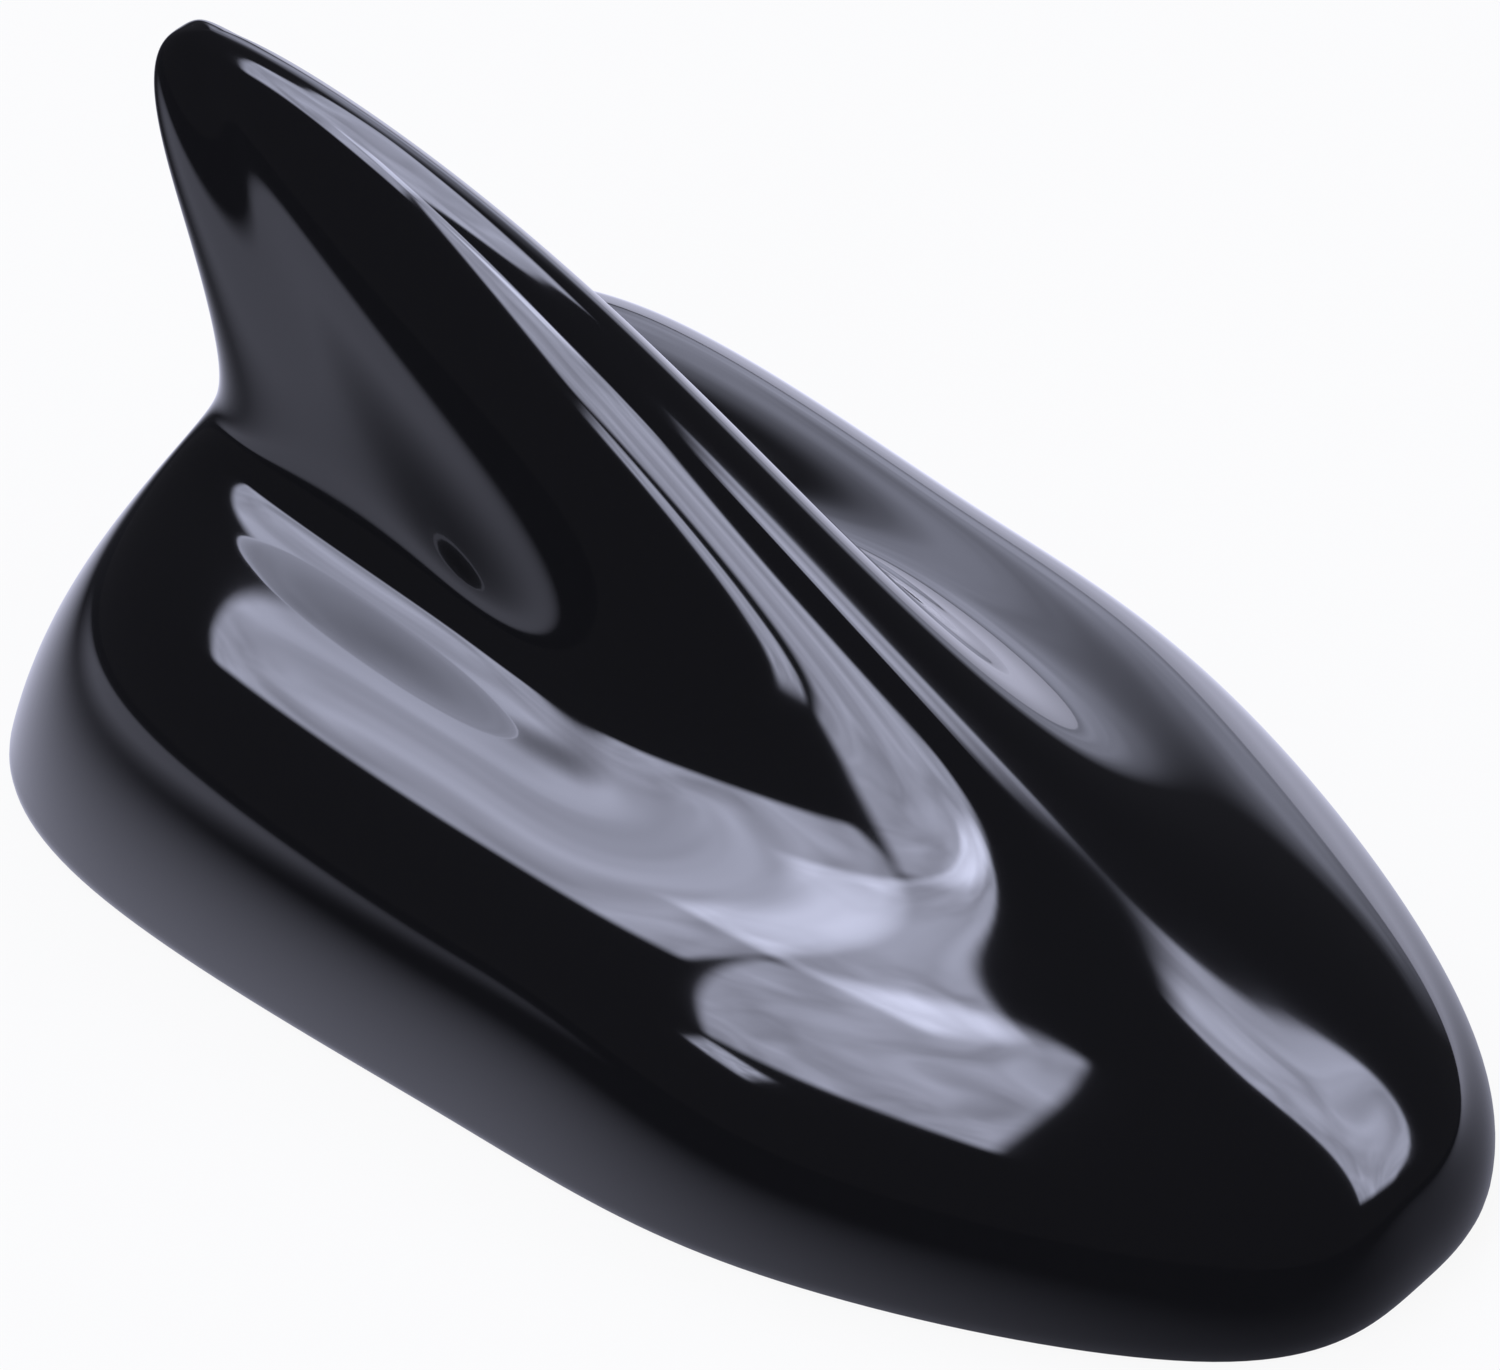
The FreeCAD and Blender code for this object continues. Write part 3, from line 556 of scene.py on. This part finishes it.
def addFloor():
    s = floorSet
    bpy.ops.mesh.primitive_plane_add(size=s["size"], location=(0, 0, -s["drop"]))
    floor = bpy.context.object
    floor.name = "floor"
    material = bpy.data.materials.new("paperSweep")
    material.use_nodes = True
    tree = material.node_tree
    tree.nodes.clear()
    paper = addNode(tree, "ShaderNodeBsdfDiffuse", {"Color": hexLinear(s["paper"])})
    path = addNode(tree, "ShaderNodeLightPath", {})
    place = addNode(tree, "ShaderNodeTexCoord", {}).outputs["Object"]
    gloss = path.outputs["Is Glossy Ray"]
    # painted reflection: gloss rays see a dim painted glow plus the painted pools of light, summed here
    total = addNode(tree, "ShaderNodeValue", {}).outputs[0]
    total.default_value = s["paintedGlowBase"]
    for paintedPool in paintedLightPools.values():
        offset = addNode(tree, "ShaderNodeVectorMath", {"operation": "SUBTRACT", 1: paintedPool["centre"]},
                         {0: place})
        scaled = addNode(tree, "ShaderNodeVectorMath", {"operation": "DIVIDE", 1: paintedPool["reach"]},
                         {0: offset.outputs["Vector"]})
        radius = addNode(tree, "ShaderNodeVectorMath", {"operation": "LENGTH"}, {0: scaled.outputs["Vector"]})
        fade = addNode(tree, "ShaderNodeMapRange", {
            "interpolation_type": "SMOOTHSTEP", "From Min": paintedPool["near"], "From Max": paintedPool["far"],
            "To Min": paintedPool["level"], "To Max": 0.0}, {"Value": radius.outputs["Value"]})
        total = addNode(tree, "ShaderNodeMath", {"operation": "ADD"},
                        {0: total, 1: fade.outputs["Result"]}).outputs[0]
    level = addNode(tree, "ShaderNodeMath", {"operation": "MULTIPLY"}, {0: total, 1: gloss})
    clear = addNode(tree, "ShaderNodeMath", {"operation": "MAXIMUM"},
                    {0: path.outputs["Is Camera Ray"], 1: path.outputs["Is Transmission Ray"]})
    strength = addNode(tree, "ShaderNodeMath", {"operation": "MAXIMUM"},
                       {0: clear.outputs[0], 1: level.outputs[0]})
    tint = addNode(tree, "ShaderNodeMixRGB", {
        "Color1": hexLinear(s["white"]), "Color2": hexLinear(s["paintedGlowTint"])}, {"Fac": gloss})
    shine = addNode(tree, "ShaderNodeEmission", {},
                    {"Color": tint.outputs[0], "Strength": strength.outputs[0]})
    share = addNode(tree, "ShaderNodeMath", {"operation": "MULTIPLY_ADD", 1: s["cameraShare"]},
                    {0: clear.outputs[0], 2: gloss})
    mix = addNode(tree, "ShaderNodeMixShader", {},
                  {0: share.outputs[0], 1: paper.outputs[0], 2: shine.outputs[0]})
    addNode(tree, "ShaderNodeOutputMaterial", {}, {"Surface": mix.outputs[0]})
    setMaterial(floor, material)


# The room round the stage: dark to the gloss, white to the camera
worldSet = {"shade": "#3a3a40", "pale": "#ffffff", "strength": 1.0}


def addWorld():
    s = worldSet
    world = bpy.data.worlds.new("studio")
    bpy.context.scene.world = world
    world.use_nodes = True
    tree = world.node_tree
    tree.nodes.clear()
    path = addNode(tree, "ShaderNodeLightPath", {})
    shade = addNode(tree, "ShaderNodeBackground", {"Color": hexLinear(s["shade"]), "Strength": s["strength"]})
    pale = addNode(tree, "ShaderNodeBackground", {"Color": hexLinear(s["pale"]), "Strength": s["strength"]})
    mix = addNode(tree, "ShaderNodeMixShader", {},
                  {0: path.outputs["Is Camera Ray"], 1: shade.outputs[0], 2: pale.outputs[0]})
    addNode(tree, "ShaderNodeOutputWorld", {}, {"Surface": mix.outputs[0]})


for name, s in lightSet.items():
    addSoftBox(name, s)
addFloor()
addWorld()


# Camera fitted to the outline: angles in degrees, distance and target in metres, image in pixels
cameraSet = {
    "azimuth": 41.3, "elevation": 42.45, "distance": 0.69, "target": (0, 0, 0.025), "sensor": 36,
    "imageWide": 1500, "imageHigh": 1370, "focalPixels": 7130, "centreX": 780.5, "centreY": 712.0,
}


def addCamera():
    s = cameraSet
    lens = bpy.data.cameras.new("photoCamera")
    lens.sensor_width = s["sensor"]
    lens.lens = s["focalPixels"] / s["imageWide"] * lens.sensor_width
    lens.shift_x = (s["imageWide"] / 2 - s["centreX"]) / s["imageWide"]
    lens.shift_y = (s["centreY"] - s["imageHigh"] / 2) / s["imageWide"]
    camera = bpy.data.objects.new("photoCamera", lens)
    away = fromAngles(s["azimuth"], s["elevation"])
    camera.location = Vector(s["target"]) + away * s["distance"]
    camera.rotation_euler = away.to_track_quat("Z", "Y").to_euler()
    bpy.context.scene.collection.objects.link(camera)
    bpy.context.scene.camera = camera


addCamera()
bpy.context.scene.view_settings.view_transform = "Standard"
print("stage, lamps and camera set")
